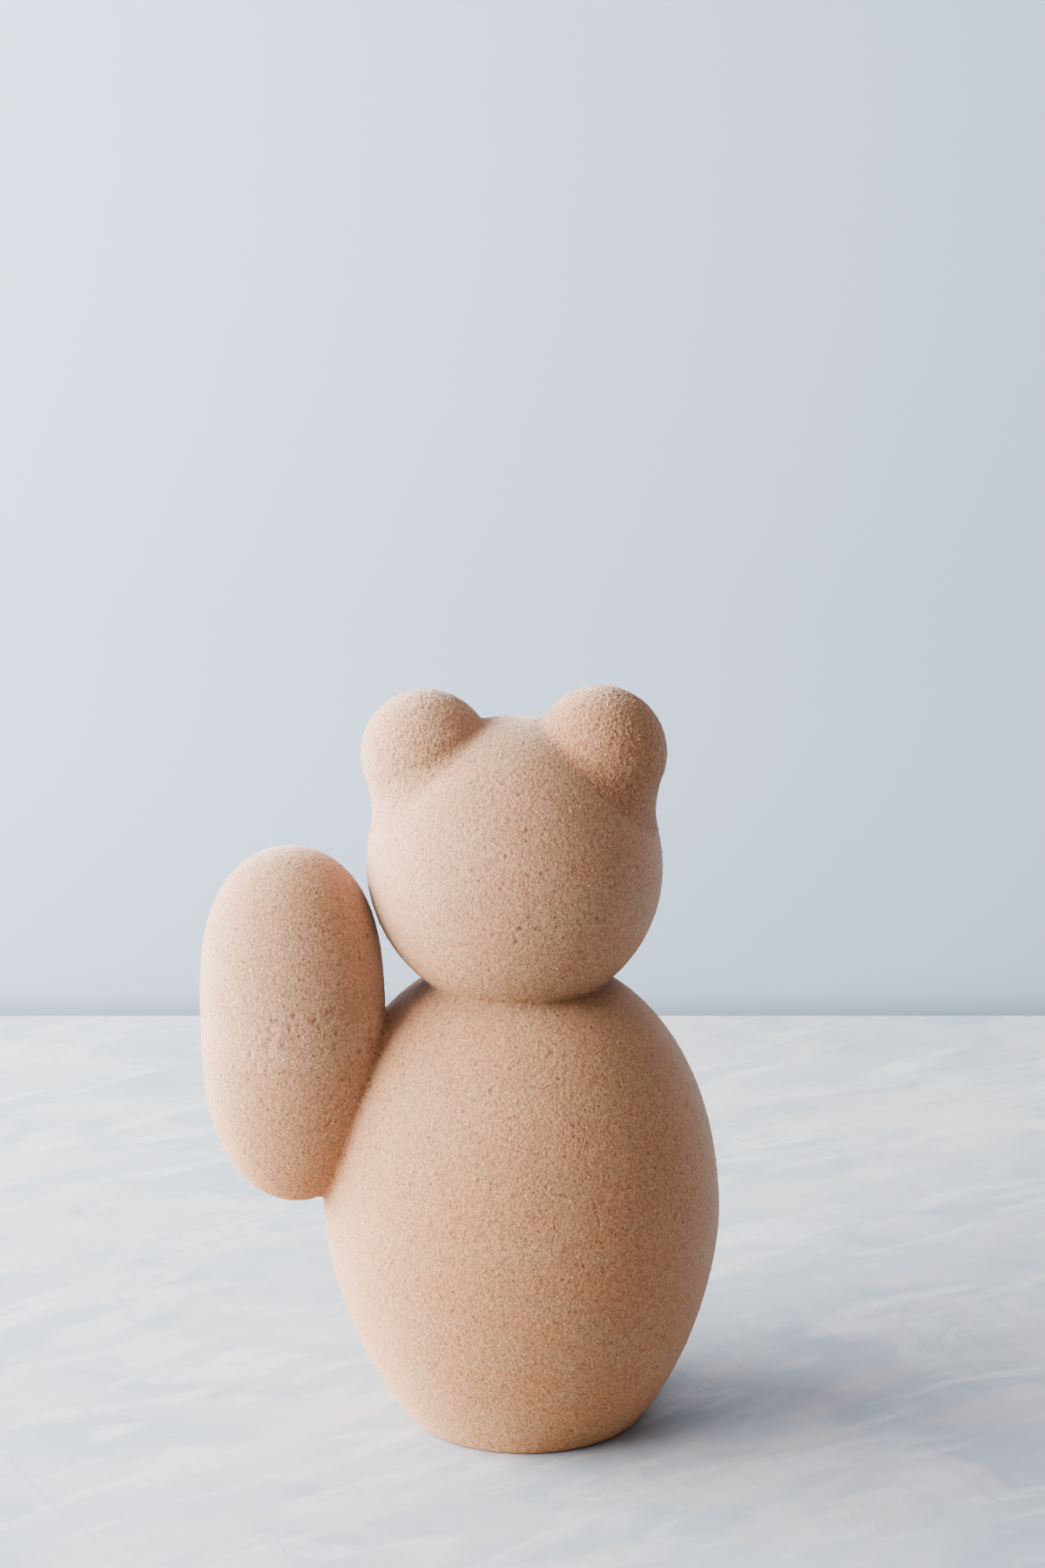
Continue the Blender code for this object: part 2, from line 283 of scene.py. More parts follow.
def maths(tree, operation, *values):
    return addNode(tree, "ShaderNodeMath", values, operation=operation).outputs[0]


def vectorMaths(tree, operation, *values):
    node = addNode(tree, "ShaderNodeVectorMath", values, operation=operation)
    return node.outputs["Value"] if operation == "DISTANCE" else node.outputs[0]


def scaledVector(tree, vector, amount):
    return addNode(tree, "ShaderNodeVectorMath", {0: vector, "Scale": amount}, operation="SCALE").outputs[0]


def partOf(tree, vector, axis):
    return addNode(tree, "ShaderNodeSeparateXYZ", [vector]).outputs["XYZ".index(axis)]


def attribute(tree, name, kind):
    return addNode(tree, "GeometryNodeInputNamedAttribute", {"Name": name}, data_type=kind).outputs[0]


def ranged(tree, value, low, high, outLow=0.0, outHigh=1.0, **settings):
    return addNode(tree, "ShaderNodeMapRange", {
        "Value": value,
        "From Min": low,
        "From Max": high,
        "To Min": outLow,
        "To Max": outHigh,
    }, **settings).outputs[0]


def mixed(tree, share, first, second, blend="MIX"):
    node = addNode(tree, "ShaderNodeMix", data_type="RGBA", blend_type=blend)
    for key, value in ((0, share), (6, first), (7, second)):
        if isinstance(value, bpy.types.NodeSocket):
            tree.links.new(value, node.inputs[key])
        else:
            node.inputs[key].default_value = value if key == 0 else (*value, 1.0)
    return node.outputs[2]


def noiseAt(tree, place, scale, detail, stretch=None, shift=0.0, **more):
    if stretch:
        place = vectorMaths(tree, "MULTIPLY", place, stretch)
    if shift:
        place = vectorMaths(tree, "ADD", place, (shift, shift, shift))
    inputs = {"Vector": place, "Scale": scale, "Detail": detail, **more}
    return addNode(tree, "ShaderNodeTexNoise", inputs).outputs[0]


# How far a place is from the middle of its cell, and the cell's own luck from 0 to 1
def cellsAt(tree, place, scale):
    cells = addNode(tree, "ShaderNodeTexVoronoi", {"Vector": place, "Scale": scale})
    return cells.outputs["Distance"], partOf(tree, cells.outputs["Color"], "X")


# The tone for each share, where tones are listed by the share that they start at
def ramped(tree, share, tones, interpolation="LINEAR"):
    ramp = addNode(tree, "ShaderNodeValToRGB", [share])
    ramp.color_ramp.interpolation = interpolation
    stops = ramp.color_ramp.elements
    stops.remove(stops[-1])
    for at, tone in tones.items():
        stop = stops.new(at) if at > 0.0 else stops[0]
        stop.color = (*tone, 1.0)
    return ramp.outputs[0]


def newTree(name, inputs):
    tree = bpy.data.node_groups.new(name, "GeometryNodeTree")
    tree.interface.new_socket("Geometry", in_out="INPUT", socket_type="NodeSocketGeometry")
    tree.interface.new_socket("Geometry", in_out="OUTPUT", socket_type="NodeSocketGeometry")
    for label, value in inputs.items():
        kind = "Int" if isinstance(value, int) else "Float"
        item = tree.interface.new_socket(label, in_out="INPUT", socket_type="NodeSocket" + kind)
        item.default_value = value
    tree.interface.new_socket("Material", in_out="INPUT", socket_type="NodeSocketMaterial")
    return tree, tree.nodes.new("NodeGroupInput").outputs


def endTree(tree, inputs, geometry):
    solid = addNode(tree, "GeometryNodeRealizeInstances", [geometry]).outputs[0]
    dressed = addNode(tree, "GeometryNodeSetMaterial", {"Geometry": solid, "Material": inputs["Material"]})
    addNode(tree, "NodeGroupOutput", [dressed.outputs[0]])
    return tree


def evaluatedMesh(piece):
    bpy.context.view_layer.update()
    return bpy.data.meshes.new_from_object(piece.evaluated_get(bpy.context.evaluated_depsgraph_get()))


def runTree(piece, tree, values):
    worker = piece.modifiers.new(tree.name, "NODES")
    worker.node_group = tree
    for item in tree.interface.items_tree:
        if item.item_type == "SOCKET" and item.in_out == "INPUT" and item.name in values:
            worker[item.identifier] = values[item.name]
    mesh = evaluatedMesh(piece)
    piece.modifiers.remove(worker)
    return mesh


# Turns an outline into a wall: the body and the head follow this rule
def makeTurnedWall():
    tree, inputs = newTree("turnedWall", {"Columns": 64})
    outline, columns = inputs["Geometry"], inputs["Columns"]
    around = maths(tree, "ADD", columns, 1.0)
    rows = addNode(tree, "GeometryNodeAttributeDomainSize", [outline], component="MESH")
    grid = addNode(tree, "GeometryNodeMeshGrid", {
        "Vertices X": rows.outputs["Point Count"],
        "Vertices Y": around,
    })
    index = addNode(tree, "GeometryNodeInputIndex").outputs[0]
    row = maths(tree, "FLOOR", maths(tree, "DIVIDE", maths(tree, "ADD", index, 0.5), around))
    column = maths(tree, "SUBTRACT", index, maths(tree, "MULTIPLY", row, around))
    angle = maths(tree, "MULTIPLY", maths(tree, "DIVIDE", column, columns), 2.0 * math.pi)
    cosine = maths(tree, "COSINE", angle)
    sine = maths(tree, "SINE", angle)

    # The outline's x turned round the axis, and its y as it is
    def turned(field):
        sample = addNode(tree, "GeometryNodeSampleIndex", data_type="FLOAT_VECTOR", domain="POINT")
        tree.links.new(outline, sample.inputs["Geometry"])
        tree.links.new(field, sample.inputs["Value"])
        tree.links.new(row, sample.inputs["Index"])
        parts = addNode(tree, "ShaderNodeSeparateXYZ", [sample.outputs[0]])
        return addNode(tree, "ShaderNodeCombineXYZ", [
            maths(tree, "MULTIPLY", parts.outputs[0], cosine),
            maths(tree, "MULTIPLY", parts.outputs[0], sine),
            parts.outputs[2],
        ]).outputs[0], parts.outputs[1]

    place = turned(addNode(tree, "GeometryNodeInputPosition").outputs[0])[0]
    outwards, skin = turned(attribute(tree, "lineNormal", "FLOAT_VECTOR"))
    wall = grid.outputs[0]
    for name, field, kind in (("clayNormal", outwards, "FLOAT_VECTOR"), ("skin", skin, "FLOAT")):
        wall = addNode(tree, "GeometryNodeStoreNamedAttribute", {
            "Geometry": wall,
            "Name": name,
            "Value": field,
        }, data_type=kind, domain="POINT").outputs[0]
    placed = addNode(tree, "GeometryNodeSetPosition", {"Geometry": wall, "Position": place})
    welded = addNode(tree, "GeometryNodeMergeByDistance", {"Geometry": placed.outputs[0], "Distance": 1e-7})
    return endTree(tree, inputs, welded.outputs[0])


# Gives the skin of a piece the relief of the clay, the same field for all pieces
clayRelief = {
    "Swell": 0.00012,
    "Dimples": 0.00007,
    "Pebbles": 0.00008,
    "Grit": 0.00006,
    "Lines": 0.00001,
    "Band Height": 0.0,
    "Band Roughness": 0.0,
    "Pits": 0.00030,
}
# Scale, detail, stretch and shift of each kind of relief
reliefWaves = {
    "Swell": (22.0, 1.0),
    "Dimples": (130.0, 2.0),
    "Pebbles": (760.0, 1.0),
    "Grit": (1000.0, 0.0, None, 7.0),
    "Lines": (1.0, 3.0, (9.0, 9.0, 420.0)),
}
pits = {"scale": 75.0, "reach": 0.0007}
# Small hollows and scuffs: x, y and z on the upright figure, and reach
marks = {
    "body": [
        (0.0351, -0.0355, 0.0352, 0.0006), (0.0327, -0.0378, 0.0354, 0.0005),
        (0.0375, -0.0326, 0.0345, 0.0005), (-0.0182, -0.0497, 0.0485, 0.0006),
    ],
    "head": [
        (0.0172, -0.0325, 0.1413, 0.0010), (0.0003, -0.0383, 0.1458, 0.0008),
        (0.0015, -0.0391, 0.1495, 0.0009), (0.0171, -0.0352, 0.1493, 0.0005),
        (-0.0034, -0.0393, 0.1601, 0.0007), (-0.0124, -0.0373, 0.1616, 0.0006),
        (-0.0250, -0.0262, 0.1724, 0.0006),
    ],
    "arm": [
        (-0.0421, -0.0230, 0.1113, 0.0010), (-0.0508, -0.0278, 0.0920, 0.0007),
        (-0.0566, -0.0300, 0.1329, 0.0006), (-0.0479, -0.0276, 0.1245, 0.0006),
        (-0.0488, -0.0281, 0.1240, 0.0005), (-0.0497, -0.0286, 0.1236, 0.0006),
        (-0.0585, -0.0309, 0.1234, 0.0008), (-0.0629, -0.0309, 0.1220, 0.0007),
        (-0.0477, -0.0276, 0.1176, 0.0009), (-0.0529, -0.0299, 0.1217, 0.0008),
    ],
}


# How deep a place lies in one of the few burnt-out pits, from 0 to 1
def pitShare(tree, place):
    away, luck = cellsAt(tree, place, pits["scale"])
    share = maths(tree, "DIVIDE", away, maths(tree, "MULTIPLY", luck, pits["reach"] * pits["scale"]))
    return ranged(tree, share, 0.35, 1.0, 1.0, 0.0, interpolation_type="SMOOTHSTEP")


# How deep a place lies in one of the marks, from 0 to 1
def markShare(tree, place, spots):
    share = 0.0
    for x, y, z, reach in spots:
        away = vectorMaths(tree, "DISTANCE", place, (x, y, z))
        share = maths(tree, "MAXIMUM", share, ranged(tree, away, 0.3 * reach, reach, 1.0, 0.0))
    return share


def makeClayRelief():
    tree, inputs = newTree("clayRelief", clayRelief)
    place = addNode(tree, "GeometryNodeInputPosition").outputs[0]

    def wave(*settings):
        return maths(tree, "SUBTRACT", noiseAt(tree, place, *settings), 0.5)

    def scaled(field, label):
        return maths(tree, "MULTIPLY", maths(tree, "MULTIPLY", field, 2.0), inputs[label])

    height = 0.0
    for label, settings in reliefWaves.items():
        height = maths(tree, "ADD", height, scaled(wave(*settings), label))

    # A torn band where the arm's halves were luted
    away = maths(tree, "SUBTRACT", partOf(tree, place, "Z"), inputs["Band Height"])
    away = maths(tree, "ABSOLUTE", away)
    inBand = ranged(tree, away, 0.003, 0.009, 1.0, 0.0, interpolation_type="SMOOTHSTEP")
    torn = ranged(tree, wave(330.0, 3.0, None, 3.0), -0.12, 0.03, -0.5, 0.12)
    patches = ranged(tree, wave(95.0, 2.0, None, 5.0), -0.06, 0.06)
    band = maths(tree, "MULTIPLY", maths(tree, "MULTIPLY", inBand, patches), scaled(torn, "Band Roughness"))
    height = maths(tree, "ADD", height, band)

    hollow = markShare(tree, place, [spot for spots in marks.values() for spot in spots])
    hollow = maths(tree, "MAXIMUM", hollow, pitShare(tree, place))
    hollow = maths(tree, "MULTIPLY", hollow, inputs["Pits"])
    height = maths(tree, "SUBTRACT", height, hollow)
    amount = maths(tree, "MULTIPLY", height, attribute(tree, "skin", "FLOAT"))
    moved = addNode(tree, "GeometryNodeSetPosition", {
        "Geometry": inputs["Geometry"],
        "Offset": scaledVector(tree, attribute(tree, "clayNormal", "FLOAT_VECTOR"), amount),
    })
    return endTree(tree, inputs, moved.outputs[0])


# Sows grains of grog, half sunk in the skin, more of them near the crowded height
grogScatter = {
    "Density": 90000.0,
    "Crowd Height": 0.0,
    "Crowd Reach": 0.010,
    "Crowd Density": 0.0,
    "Grain": 0.00026,
    "Seed": 3,
}


def makeGrogScatter():
    tree, inputs = newTree("grogScatter", grogScatter)
    level = partOf(tree, addNode(tree, "GeometryNodeInputPosition").outputs[0], "Z")
    away = maths(tree, "ABSOLUTE", maths(tree, "SUBTRACT", level, inputs["Crowd Height"]))
    near = maths(tree, "SUBTRACT", 1.0, maths(tree, "DIVIDE", away, inputs["Crowd Reach"]))
    crowd = maths(tree, "MULTIPLY", maths(tree, "MAXIMUM", near, 0.0), inputs["Crowd Density"])
    density = maths(tree, "ADD", inputs["Density"], crowd)
    onSkin = maths(tree, "GREATER_THAN", attribute(tree, "skin", "FLOAT"), 0.9)
    sown = addNode(tree, "GeometryNodeDistributePointsOnFaces", {
        "Mesh": inputs["Geometry"],
        "Density": maths(tree, "MULTIPLY", density, onSkin),
        "Seed": inputs["Seed"],
    }, distribute_method="RANDOM")

    def randomVector(low, high):
        return addNode(tree, "FunctionNodeRandomValue", {"Min": (low,) * 3, "Max": (high,) * 3},
                       data_type="FLOAT_VECTOR").outputs[0]

    # Most grains are small: 0.45 to 1.35 of the grain's size
    luck = addNode(tree, "FunctionNodeRandomValue", data_type="FLOAT").outputs[1]
    large = maths(tree, "MULTIPLY", maths(tree, "POWER", luck, 3.0), 0.9)
    size = maths(tree, "MULTIPLY", inputs["Grain"], maths(tree, "ADD", large, 0.45))
    sunk = scaledVector(tree, sown.outputs["Normal"], maths(tree, "MULTIPLY", size, -0.35))
    settled = addNode(tree, "GeometryNodeSetPosition", {"Geometry": sown.outputs["Points"], "Offset": sunk})
    grain = addNode(tree, "GeometryNodeMeshIcoSphere", {"Radius": 1.0, "Subdivisions": 1})
    grains = addNode(tree, "GeometryNodeInstanceOnPoints", {
        "Points": settled.outputs[0],
        "Instance": grain.outputs[0],
        "Rotation": randomVector(0.0, 6.28),
        "Scale": scaledVector(tree, randomVector(0.7, 1.3), size),
    })
    return endTree(tree, inputs, grains.outputs[0])


turnedWallTree = makeTurnedWall()
clayReliefTree = makeClayRelief()
grogScatterTree = makeGrogScatter()
print("node trees for the clay ready")


def newMaterial(name, roughness):
    material = bpy.data.materials.new(name)
    material.use_nodes = True
    tree = material.node_tree
    shader = tree.nodes["Principled BSDF"]
    shader.inputs["Roughness"].default_value = roughness
    return material, tree, shader, addNode(tree, "ShaderNodeTexCoord").outputs["Object"]


# Stoneware finishes
clayFinish = {
    "pink": (0.618, 0.370, 0.236),
    "ochre": (0.565, 0.262, 0.100),
    "olive": (0.540, 0.355, 0.190),
    "rust": (0.57, 0.265, 0.145),
    "speck": (0.26, 0.105, 0.060),
    "dark": (0.16, 0.085, 0.055),
    "pale": (0.84, 0.62, 0.45),
    "scraped": (0.66, 0.42, 0.29),
    # crease: the colour of the painted shade in the neck crease
    "crease": (0.28, 0.160, 0.100),
    "roughness": 0.82,
    "ochreFrom": 0.092,
    "ochreTo": 0.036,
    "oliveClouds": 0.45,
    "rustClouds": 0.30,
    "grainShade": 0.20,
    "speckShade": 0.60,
    "bandHeight": None,
    "marks": None,
    "creaseReach": 0.0,
    "creaseShare": 0.0,
    "bump": 0.55,
}
# What the shader gets on faces that look down and on the others, which are dusty
dusty = {"from": -0.80, "to": -0.05, "Sheen Weight": (0.05, 0.50), "Specular IOR Level": (0.15, 0.50)}


def clayMaterial(name, **changes):
    look = {**clayFinish, **changes}
    material, tree, shader, leaning = newMaterial(name, look["roughness"])
    level = partOf(tree, leaning, "Z")
    upright = addNode(tree, "ShaderNodeCombineXYZ", [maths(tree, "MULTIPLY", level, leanSlope), 0.0, 0.0])
    place = vectorMaths(tree, "ADD", leaning, upright.outputs[0])

    def noise(*settings):
        return noiseAt(tree, place, *settings)

    def specks(scale, size, shift, rare):
        away, luck = cellsAt(tree, vectorMaths(tree, "ADD", place, (shift, shift, shift)), scale)
        reach = maths(tree, "MULTIPLY", maths(tree, "POWER", luck, rare), size)
        return ranged(tree, maths(tree, "SUBTRACT", reach, away), 0.0, 0.10)

    # Large tones: ochre low down, the scraped band, and painted shade in the neck crease
    drift = maths(tree, "MULTIPLY", maths(tree, "SUBTRACT", noise(16.0, 3.0), 0.5), 0.06)
    low = ranged(tree, maths(tree, "ADD", level, drift), look["ochreFrom"], look["ochreTo"])
    colour = mixed(tree, low, look["pink"], look["ochre"])
    if look["bandHeight"]:
        away = maths(tree, "ABSOLUTE", maths(tree, "SUBTRACT", level, look["bandHeight"]))
        ragged = maths(tree, "SUBTRACT", noise(120.0, 3.0, None, 3.0), 0.5)
        away = maths(tree, "ADD", away, maths(tree, "MULTIPLY", ragged, 0.02))
        colour = mixed(tree, ranged(tree, away, 0.008, 0.002, 0.0, 0.55), colour, look["scraped"])
    # Painted shade: darker near the neck crease, on the head above it and on the body below it
    if look["creaseShare"]:
        near = ranged(tree, level, neckHeight + look["creaseReach"], neckHeight, 0.0, look["creaseShare"])
        colour = mixed(tree, near, colour, look["crease"])

    # Clouds, then grain of two sizes: field, from, to, share and tone
    grain = noise(1050.0, 1.0)
    finer = noise(2000.0, 0.0, None, 6.0)
    shade = look["grainShade"]
    for field, start, full, share, tone in (
        (noise(55.0, 4.0, (1.0, 1.0, 1.5), 8.0), 0.46, 0.64, look["oliveClouds"], "olive"),
        (noise(95.0, 4.0, (1.0, 1.0, 1.5), 4.0), 0.46, 0.66, look["rustClouds"], "rust"),
        (noise(330.0, 2.0, None, 2.0), 0.46, 0.70, look["rustClouds"] * 0.5, "rust"),
        (grain, 0.52, 0.28, shade * 1.5, "dark"),
        (grain, 0.50, 0.72, shade * 0.7, "pale"),
        (finer, 0.50, 0.26, shade * 2.0, "dark"),
        (finer, 0.52, 0.75, shade * 0.9, "pale"),
    ):
        colour = mixed(tree, ranged(tree, field, start, full, 0.0, share), colour, look[tone])

    # Specks, pits and marks
    rustSpecks = specks(560.0, 0.42, 12.0, 1.6)
    darkSpecks = specks(560.0, 0.36, 0.0, 2.4)
    paleSpecks = specks(620.0, 0.22, 9.0, 3.0)
    burnt = pitShare(tree, place)
    if look["marks"]:
        burnt = maths(tree, "MAXIMUM", burnt, markShare(tree, place, marks[look["marks"]]))
    for field, share, tone in (
        (rustSpecks, look["speckShade"] * 0.8, "rust"),
        (darkSpecks, look["speckShade"], "speck"),
        (paleSpecks, 0.5, "pale"),
        (burnt, 0.6, "speck"),
    ):
        colour = mixed(tree, maths(tree, "MULTIPLY", field, share), colour, look[tone])
    tree.links.new(colour, shader.inputs["Base Color"])

    relief = 0.0
    for field, height in (
        (noise(1000.0, 2.0, None, 1.0), 0.00034),
        (grain, 0.00022),
        (finer, 0.00020),
        (darkSpecks, -0.00012),
        (paleSpecks, 0.00012),
    ):
        relief = maths(tree, "ADD", relief, maths(tree, "MULTIPLY", field, height * look["bump"]))
    bump = addNode(tree, "ShaderNodeBump", {"Strength": 1.0, "Distance": 1.0, "Height": relief})
    tree.links.new(bump.outputs[0], shader.inputs["Normal"])
    rough = ranged(tree, grain, 0.3, 0.7, look["roughness"] - 0.10, look["roughness"] + 0.06)
    tree.links.new(rough, shader.inputs["Roughness"])
    facingUp = partOf(tree, addNode(tree, "ShaderNodeNewGeometry").outputs["Normal"], "Z")
    for label in ("Sheen Weight", "Specular IOR Level"):
        strength = ranged(tree, facingUp, dusty["from"], dusty["to"], *dusty[label])
        tree.links.new(strength, shader.inputs[label])
    shader.inputs["Metallic"].default_value = 0.0
    shader.inputs["Sheen Roughness"].default_value = 0.5
    shader.inputs["Diffuse Roughness"].default_value = 0.8
    return material


# The grains have the tones of the clay round them, some of them paler or darker
grogTones = {
    0.0: (0.34, 0.16, 0.09),
    0.10: (0.55, 0.30, 0.165),
    0.30: (0.61, 0.350, 0.205),
    0.72: (0.66, 0.42, 0.265),
    0.965: (0.86, 0.70, 0.54),
}


def grogMaterial():
    material, tree, shader, place = newMaterial("grogStoneware", 0.6)
    luck = cellsAt(tree, place, 900.0)[1]
    tree.links.new(ramped(tree, luck, grogTones, "CONSTANT"), shader.inputs["Base Color"])
    return material


noOchre = {"ochreFrom": -1.0, "ochreTo": -2.0}
clays = {
    "body": clayMaterial(
        "bodyStoneware", pink=(0.598, 0.340, 0.194), ochre=(0.562, 0.278, 0.122), marks="body",
        ochreFrom=0.100, ochreTo=0.044, creaseReach=-0.004, creaseShare=0.40,
    ),
    "head": clayMaterial(
        "headStoneware", ochre=(0.53, 0.265, 0.120), marks="head",
        ochreFrom=0.156, ochreTo=0.118, creaseReach=0.013, creaseShare=0.45,
    ),
    "ear_right": clayMaterial("rightEarStoneware", bump=0.9, **noOchre),
    "ear_left": clayMaterial("leftEarStoneware", pink=(0.535, 0.288, 0.165), bump=0.9, **noOchre),
    "arm": clayMaterial(
        "armStoneware", marks="arm", ochreFrom=0.120, ochreTo=0.066, bandHeight=arm["bandHeight"],
    ),
}
grog = grogMaterial()
print("stoneware ready")


# Turning a drawn outline into a finished piece
def meshPiece(name, mesh):
    piece = bpy.data.objects.new(name, mesh)
    scene.collection.objects.link(piece)
    return piece


def writeAttribute(mesh, name, kind, key, values):
    mesh.attributes.new(name, kind, "POINT").data.foreach_set(key, values.ravel())


def outlineMesh(name, rows):
    line = bpy.data.meshes.new(name)
    places = np.column_stack([rows[:, 0], np.zeros(len(rows)), rows[:, 1]])
    line.from_pydata(places.tolist(), [(i, i + 1) for i in range(len(rows) - 1)], [])
    writeAttribute(line, "lineNormal", "FLOAT_VECTOR", "vector", rows[:, [2, 4, 3]])
    return meshPiece(name, line)


def smoothMesh(mesh):
    mesh.shade_smooth()
    mesh.set_sharp_from_angle(angle=math.radians(figure["sharpDegrees"]))


def leanAndSmooth(mesh):
    places = np.zeros(len(mesh.vertices) * 3)
    mesh.vertices.foreach_get("co", places)
    places = places.reshape(-1, 3)
    places[:, 0] -= places[:, 2] * leanSlope
    mesh.vertices.foreach_set("co", places.ravel())
    work = bmesh.new()
    work.from_mesh(mesh)
    if work.calc_volume(signed=True) < 0.0:
        bmesh.ops.reverse_faces(work, faces=work.faces)
    work.to_mesh(mesh)
    work.free()
    smoothMesh(mesh)
    mesh.update()


def finishPiece(piece, material, relief):
    mesh = runTree(piece, clayReliefTree, {**relief, "Material": material})
    name = piece.name
    bpy.data.objects.remove(piece)
    leanAndSmooth(mesh)
    mesh.name = name
    return meshPiece(name, mesh)


# rows holds radius, height, normal outwards, normal upwards and skin
def turnedPiece(name, rows, columns, material):
    outline = outlineMesh(name + "_outline", rows)
    mesh = runTree(outline, turnedWallTree, {"Columns": columns, "Material": material})
    bpy.data.objects.remove(outline)
    return finishPiece(meshPiece(name, mesh), material, {})


def skinRows(line):
    return np.column_stack([line, lineNormals(line), np.ones(len(line))])


def bareRows(line):
    line = np.atleast_2d(np.array(line, float))
    return np.column_stack([line, np.zeros((len(line), 3))])


def makeBodyLower():
    b = body
    foot = b["footRadius"]
    start = foot - b["footBevel"]
    bevelEnd = (radiusAt(egg, b["footBevel"]), b["footBevel"])
    bevel = cubicSpan((start, 0.0), (foot, 0.0), (foot, 0.0), bevelEnd, b["bevelPoints"])
    outer = np.vstack([bevel, between(egg, b["footBevel"], b["seamHeight"])[1:]])
    outer = skinRows(evenly(outer, b["rowStep"]))
    outer[:, 4] = np.clip(outer[:, 1] / b["footBevel"], 0.0, 1.0)
    under = bareRows([(r * start, 0.0) for r in (0.0, 0.2, 0.4, 0.6, 0.8)])
    inner = evenly(between(innerEgg, b["floor"], b["seamHeight"]), figure["innerStep"])[::-1]
    rows = np.vstack([under, outer, bareRows(inner), bareRows([(0.0, b["floor"])])])
    piece = turnedPiece("body_lower_clay", rows, b["columns"], clays["body"])
    cutVent(piece)
    return piece


# The round firing vent in the floor
def cutVent(piece):
    b = body
    drill = bpy.data.meshes.new("floor_vent_drill")
    work = bmesh.new()
    bmesh.ops.create_cone(work, cap_ends=True, segments=48, radius1=b["ventRadius"], radius2=b["ventRadius"],
                          depth=4.0 * b["floor"])
    bmesh.ops.translate(work, verts=work.verts, vec=(b["ventOffset"], 0.0, 0.0))
    work.to_mesh(drill)
    work.free()
    drill.materials.append(clays["body"])
    cutter = meshPiece("floor_vent_drill", drill)
    bore = piece.modifiers.new("vent", "BOOLEAN")
    bore.operation = "DIFFERENCE"
    bore.solver = "EXACT"
    bore.object = cutter
    old = piece.data
    piece.data = evaluatedMesh(piece)
    piece.data.name = piece.name
    piece.modifiers.remove(bore)
    bpy.data.objects.remove(cutter)
    bpy.data.meshes.remove(old)


def ballLine(radius, startAngle, endAngle, step):
    count = max(2, int(round(abs(endAngle - startAngle) * radius / step)) + 1)
    swing = np.linspace(startAngle, endAngle, count)
    return np.column_stack([np.abs(radius * np.sin(swing)), headHeight - radius * np.cos(swing)])


def untilBall(line, ballRadius):
    clear = np.hypot(line[:, 0], line[:, 1] - headHeight) - ballRadius
    stop = int(np.argmax(clear <= 0.0))
    share = clear[stop - 1] / (clear[stop - 1] - clear[stop])
    return np.vstack([line[:stop], line[stop - 1] + share * (line[stop] - line[stop - 1])])


# The neck is filled with slip that runs out on the head
def makeBodyUpper():
    b, h = body, head
    outer = untilBall(between(aboveBelly, b["seamHeight"], b["crownHeight"]), h["radius"])
    corner = outer[-1].copy()
    away = np.linalg.norm(outer - corner, axis=1)
    outer = outer[away > h["filletDown"]]
    rimAngle = math.asin(h["neckRadius"] / h["radius"])
    lip = ballLine(h["radius"] + h["lipLift"], rimAngle, rimAngle + h["filletUp"] / h["radius"], 1.0)[-1]
    towards = (outer[-1] + 2.0 * corner) / 3.0, (lip + 2.0 * corner) / 3.0
    fillet = cubicSpan(outer[-1], *towards, lip, h["filletPoints"])
    skin = skinRows(np.vstack([evenly(outer, b["rowStep"]), fillet[1:]]))
    seat = h["radius"] - h["seatDepth"]
    inner = between(innerEgg[innerEgg[:, 1] > b["bellyHeight"]], b["seamHeight"], innerEgg[-1, 1])
    inner = untilBall(inner, seat)
    seatEnds = rimAngle + h["filletUp"] / seat, math.asin(inner[-1, 0] / seat)
    seatLine = ballLine(seat, *seatEnds, h["seatStep"])
    inner = evenly(inner, figure["innerStep"])[::-1]
    rows = np.vstack([skin, bareRows(seatLine), bareRows(inner), skin[:1]])
    return turnedPiece("body_upper_clay", rows, b["columns"], clays["body"])


def makeHeadLower():
    h = head
    hollow = h["radius"] - h["wall"]
    level = math.pi / 2.0
    skin = skinRows(ballLine(h["radius"], math.asin(h["ventRadius"] / h["radius"]), level, h["rowStep"]))
    skin[:, 4] = np.clip((skin[:, 1] - neckHeight) / h["skinFade"] + 1.0, 0.0, 1.0)
    inner = bareRows(ballLine(hollow, level, math.asin(h["ventRadius"] / hollow), figure["innerStep"]))
    return turnedPiece("head_lower_clay", np.vstack([skin, inner, skin[:1]]), h["columns"], clays["head"])


def makeHeadUpper():
    h = head
    level = math.pi / 2.0
    skin = skinRows(ballLine(h["radius"], level, math.pi, h["rowStep"]))[::-1]
    inner = bareRows(ballLine(h["radius"] - h["wall"], level, math.pi, figure["innerStep"]))
    rows = np.vstack([skin, inner])
    rows[0, 0] = rows[-1, 0] = 0.0
    return turnedPiece("head_upper_clay", rows, h["columns"], clays["head"])


# Ears and arm are skinned over rings of points that run from one pole to the other
def ringNormals(rings):
    along = np.gradient(rings, axis=0)
    across = np.roll(rings, -1, axis=1) - np.roll(rings, 1, axis=1)
    normals = np.cross(across, along)
    normals /= np.linalg.norm(normals, axis=2)[:, :, None] + 1e-15
    return normals


def fromPoleToPole(rings):
    return np.vstack([rings[0, :1], rings[1:-1].reshape(-1, rings.shape[2]), rings[-1, :1]])


